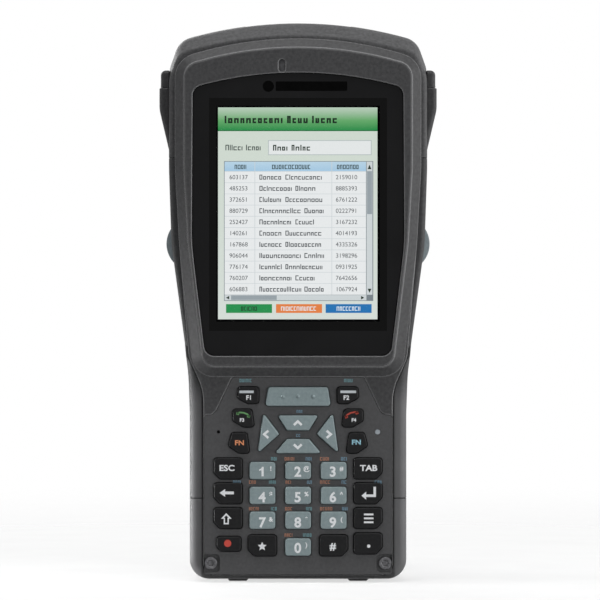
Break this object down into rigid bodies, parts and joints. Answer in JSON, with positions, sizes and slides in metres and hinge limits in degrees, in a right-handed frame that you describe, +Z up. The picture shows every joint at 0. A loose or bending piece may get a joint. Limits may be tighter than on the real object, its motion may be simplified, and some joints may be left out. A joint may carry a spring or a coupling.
{
  "type": "portable barcode data terminal",
  "caption": "Hand-held data terminal: display head over a keypad grip, scan window in the top, side scan buttons, and a hinged battery lid at the back.",
  "frame": {"origin": "on the ground under the middle of the body, which stands upright on its two feet", "axes": "+X to the right seen from the front, +Y from the front to the back, +Z up towards the scan window"},
  "size_m": [0.1, 0.042, 0.2011],
  "materials": {
    "casing": "fine textured dark grey moulding",
    "front_casing": "fine textured dark grey moulding",
    "end_cap": "fine textured dark grey moulding",
    "base_cap": "fine textured dark grey moulding",
    "keypad_plate": "satin dark grey plate with small printed legends",
    "bumper": "smooth dark rubber",
    "display_glass": "clear hardened glass with a black printed mask",
    "gasket": "closed-cell foam",
    "display": "lit colour display",
    "chassis": "pressed sheet",
    "circuit_board": "green solder mask",
    "switch_body": "moulded switch",
    "engine_body": "black scan module",
    "scan_window": "dark red tinted window",
    "speaker_body": "small round speaker",
    "led_lens": "frosted light pipe",
    "silicone": "grey silicone mat",
    "battery_wrap": "black battery case",
    "contact_metal": "gold-plated contact block",
    "battery_lid": "fine textured dark grey moulding",
    "latch": "black moulding",
    "steel_pin": "ground pin",
    "dock_plastic": "black connector moulding",
    "screw_steel": "dark plated screw",
    "scan_button": "grey soft-touch button",
    "key_grey": "blue-grey key with white legend",
    "key_black": "black key with white legend"
  },
  "bodies": {
    "terminal": {"rear_casing": "casing", "front_casing": "front_casing", "end_cap": "end_cap", "base_cap": "base_cap", "keypad_plate": "keypad_plate", "side_bumpers": "bumper", "display_glass": "display_glass", "display_gasket": "gasket", "lcd_module": "display", "display_chassis": "chassis", "main_board": "circuit_board", "keypad_board": "circuit_board", "side_switches": "switch_body", "scan_engine": "engine_body", "scan_window": "scan_window", "speaker": "speaker_body", "status_led": "led_lens", "key_mat": "silicone", "battery_pack": "battery_wrap", "battery_contacts": "contact_metal", "lid_hinge_pin": "steel_pin", "dock_connector": "dock_plastic", "keypad_screws": "screw_steel", "casing_screws": "screw_steel"},
    "battery_lid": {"battery_lid": "battery_lid"},
    "latch_left": {"lid_latch_left": "latch"},
    "latch_right": {"lid_latch_right": "latch"},
    "scan_button_left": {"scan_button_left": "scan_button"},
    "scan_button_right": {"scan_button_right": "scan_button"},
    "key_scan": {"key_scan": "key_grey"},
    "key_f1": {"key_f1": "key_black"},
    "key_f2": {"key_f2": "key_black"},
    "key_f3": {"key_f3": "key_black"},
    "key_f4": {"key_f4": "key_black"},
    "key_fn_left": {"key_fn_left": "key_black"},
    "key_fn_right": {"key_fn_right": "key_black"},
    "key_up": {"key_up": "key_grey"},
    "key_down": {"key_down": "key_grey"},
    "key_left": {"key_left": "key_grey"},
    "key_right": {"key_right": "key_grey"},
    "key_esc": {"key_esc": "key_black"},
    "key_tab": {"key_tab": "key_black"},
    "key_1": {"key_1": "key_grey"},
    "key_2": {"key_2": "key_grey"},
    "key_3": {"key_3": "key_grey"},
    "key_backspace": {"key_backspace": "key_black"},
    "key_4": {"key_4": "key_grey"},
    "key_5": {"key_5": "key_grey"},
    "key_6": {"key_6": "key_grey"},
    "key_enter": {"key_enter": "key_black"},
    "key_shift": {"key_shift": "key_black"},
    "key_7": {"key_7": "key_grey"},
    "key_8": {"key_8": "key_grey"},
    "key_9": {"key_9": "key_grey"},
    "key_menu": {"key_menu": "key_black"},
    "key_power": {"key_power": "key_black"},
    "key_star": {"key_star": "key_black"},
    "key_0": {"key_0": "key_grey"},
    "key_hash": {"key_hash": "key_black"},
    "key_point": {"key_point": "key_black"}
  },
  "joints": [
    {"name": "battery_lid_hinge", "type": "hinge", "parent": "terminal", "child": "battery_lid", "pos_m": [0, 0.0096, 0.1065], "axis": [1, 0, 0], "range_deg": [0, 90]},
    {"name": "latch_left_slide", "type": "slide", "parent": "battery_lid", "child": "latch_left", "axis": [0, 0, 1], "range_m": [0, 0.004], "stiffness_N_per_m": 200, "springref_m": -0.002},
    {"name": "latch_right_slide", "type": "slide", "parent": "battery_lid", "child": "latch_right", "axis": [0, 0, 1], "range_m": [0, 0.004], "stiffness_N_per_m": 200, "springref_m": -0.002},
    {"name": "scan_button_left_press", "type": "slide", "parent": "terminal", "child": "scan_button_left", "axis": [1, 0, 0], "range_m": [0, 0.0009], "stiffness_N_per_m": 1500, "springref_m": -0.0008},
    {"name": "scan_button_right_press", "type": "slide", "parent": "terminal", "child": "scan_button_right", "axis": [-1, 0, 0], "range_m": [0, 0.0009], "stiffness_N_per_m": 1500, "springref_m": -0.0008},
    {"name": "key_scan_press", "type": "slide", "parent": "terminal", "child": "key_scan", "axis": [0, 1, 0], "range_m": [0, 0.0007], "stiffness_N_per_m": 1200, "springref_m": -0.0006},
    {"name": "key_f1_press", "type": "slide", "parent": "terminal", "child": "key_f1", "axis": [0, 1, 0], "range_m": [0, 0.0007], "stiffness_N_per_m": 1200, "springref_m": -0.0006},
    {"name": "key_f2_press", "type": "slide", "parent": "terminal", "child": "key_f2", "axis": [0, 1, 0], "range_m": [0, 0.0007], "stiffness_N_per_m": 1200, "springref_m": -0.0006},
    {"name": "key_f3_press", "type": "slide", "parent": "terminal", "child": "key_f3", "axis": [0, 1, 0], "range_m": [0, 0.0007], "stiffness_N_per_m": 1200, "springref_m": -0.0006},
    {"name": "key_f4_press", "type": "slide", "parent": "terminal", "child": "key_f4", "axis": [0, 1, 0], "range_m": [0, 0.0007], "stiffness_N_per_m": 1200, "springref_m": -0.0006},
    {"name": "key_fn_left_press", "type": "slide", "parent": "terminal", "child": "key_fn_left", "axis": [0, 1, 0], "range_m": [0, 0.0007], "stiffness_N_per_m": 1200, "springref_m": -0.0006},
    {"name": "key_fn_right_press", "type": "slide", "parent": "terminal", "child": "key_fn_right", "axis": [0, 1, 0], "range_m": [0, 0.0007], "stiffness_N_per_m": 1200, "springref_m": -0.0006},
    {"name": "key_up_press", "type": "slide", "parent": "terminal", "child": "key_up", "axis": [0, 1, 0], "range_m": [0, 0.0007], "stiffness_N_per_m": 1200, "springref_m": -0.0006},
    {"name": "key_down_press", "type": "slide", "parent": "terminal", "child": "key_down", "axis": [0, 1, 0], "range_m": [0, 0.0007], "stiffness_N_per_m": 1200, "springref_m": -0.0006},
    {"name": "key_left_press", "type": "slide", "parent": "terminal", "child": "key_left", "axis": [0, 1, 0], "range_m": [0, 0.0007], "stiffness_N_per_m": 1200, "springref_m": -0.0006},
    {"name": "key_right_press", "type": "slide", "parent": "terminal", "child": "key_right", "axis": [0, 1, 0], "range_m": [0, 0.0007], "stiffness_N_per_m": 1200, "springref_m": -0.0006},
    {"name": "key_esc_press", "type": "slide", "parent": "terminal", "child": "key_esc", "axis": [0, 1, 0], "range_m": [0, 0.0007], "stiffness_N_per_m": 1200, "springref_m": -0.0006},
    {"name": "key_tab_press", "type": "slide", "parent": "terminal", "child": "key_tab", "axis": [0, 1, 0], "range_m": [0, 0.0007], "stiffness_N_per_m": 1200, "springref_m": -0.0006},
    {"name": "key_1_press", "type": "slide", "parent": "terminal", "child": "key_1", "axis": [0, 1, 0], "range_m": [0, 0.0007], "stiffness_N_per_m": 1200, "springref_m": -0.0006},
    {"name": "key_2_press", "type": "slide", "parent": "terminal", "child": "key_2", "axis": [0, 1, 0], "range_m": [0, 0.0007], "stiffness_N_per_m": 1200, "springref_m": -0.0006},
    {"name": "key_3_press", "type": "slide", "parent": "terminal", "child": "key_3", "axis": [0, 1, 0], "range_m": [0, 0.0007], "stiffness_N_per_m": 1200, "springref_m": -0.0006},
    {"name": "key_backspace_press", "type": "slide", "parent": "terminal", "child": "key_backspace", "axis": [0, 1, 0], "range_m": [0, 0.0007], "stiffness_N_per_m": 1200, "springref_m": -0.0006},
    {"name": "key_4_press", "type": "slide", "parent": "terminal", "child": "key_4", "axis": [0, 1, 0], "range_m": [0, 0.0007], "stiffness_N_per_m": 1200, "springref_m": -0.0006},
    {"name": "key_5_press", "type": "slide", "parent": "terminal", "child": "key_5", "axis": [0, 1, 0], "range_m": [0, 0.0007], "stiffness_N_per_m": 1200, "springref_m": -0.0006},
    {"name": "key_6_press", "type": "slide", "parent": "terminal", "child": "key_6", "axis": [0, 1, 0], "range_m": [0, 0.0007], "stiffness_N_per_m": 1200, "springref_m": -0.0006},
    {"name": "key_enter_press", "type": "slide", "parent": "terminal", "child": "key_enter", "axis": [0, 1, 0], "range_m": [0, 0.0007], "stiffness_N_per_m": 1200, "springref_m": -0.0006},
    {"name": "key_shift_press", "type": "slide", "parent": "terminal", "child": "key_shift", "axis": [0, 1, 0], "range_m": [0, 0.0007], "stiffness_N_per_m": 1200, "springref_m": -0.0006},
    {"name": "key_7_press", "type": "slide", "parent": "terminal", "child": "key_7", "axis": [0, 1, 0], "range_m": [0, 0.0007], "stiffness_N_per_m": 1200, "springref_m": -0.0006},
    {"name": "key_8_press", "type": "slide", "parent": "terminal", "child": "key_8", "axis": [0, 1, 0], "range_m": [0, 0.0007], "stiffness_N_per_m": 1200, "springref_m": -0.0006},
    {"name": "key_9_press", "type": "slide", "parent": "terminal", "child": "key_9", "axis": [0, 1, 0], "range_m": [0, 0.0007], "stiffness_N_per_m": 1200, "springref_m": -0.0006},
    {"name": "key_menu_press", "type": "slide", "parent": "terminal", "child": "key_menu", "axis": [0, 1, 0], "range_m": [0, 0.0007], "stiffness_N_per_m": 1200, "springref_m": -0.0006},
    {"name": "key_power_press", "type": "slide", "parent": "terminal", "child": "key_power", "axis": [0, 1, 0], "range_m": [0, 0.0007], "stiffness_N_per_m": 1200, "springref_m": -0.0006},
    {"name": "key_star_press", "type": "slide", "parent": "terminal", "child": "key_star", "axis": [0, 1, 0], "range_m": [0, 0.0007], "stiffness_N_per_m": 1200, "springref_m": -0.0006},
    {"name": "key_0_press", "type": "slide", "parent": "terminal", "child": "key_0", "axis": [0, 1, 0], "range_m": [0, 0.0007], "stiffness_N_per_m": 1200, "springref_m": -0.0006},
    {"name": "key_hash_press", "type": "slide", "parent": "terminal", "child": "key_hash", "axis": [0, 1, 0], "range_m": [0, 0.0007], "stiffness_N_per_m": 1200, "springref_m": -0.0006},
    {"name": "key_point_press", "type": "slide", "parent": "terminal", "child": "key_point", "axis": [0, 1, 0], "range_m": [0, 0.0007], "stiffness_N_per_m": 1200, "springref_m": -0.0006}
  ]
}
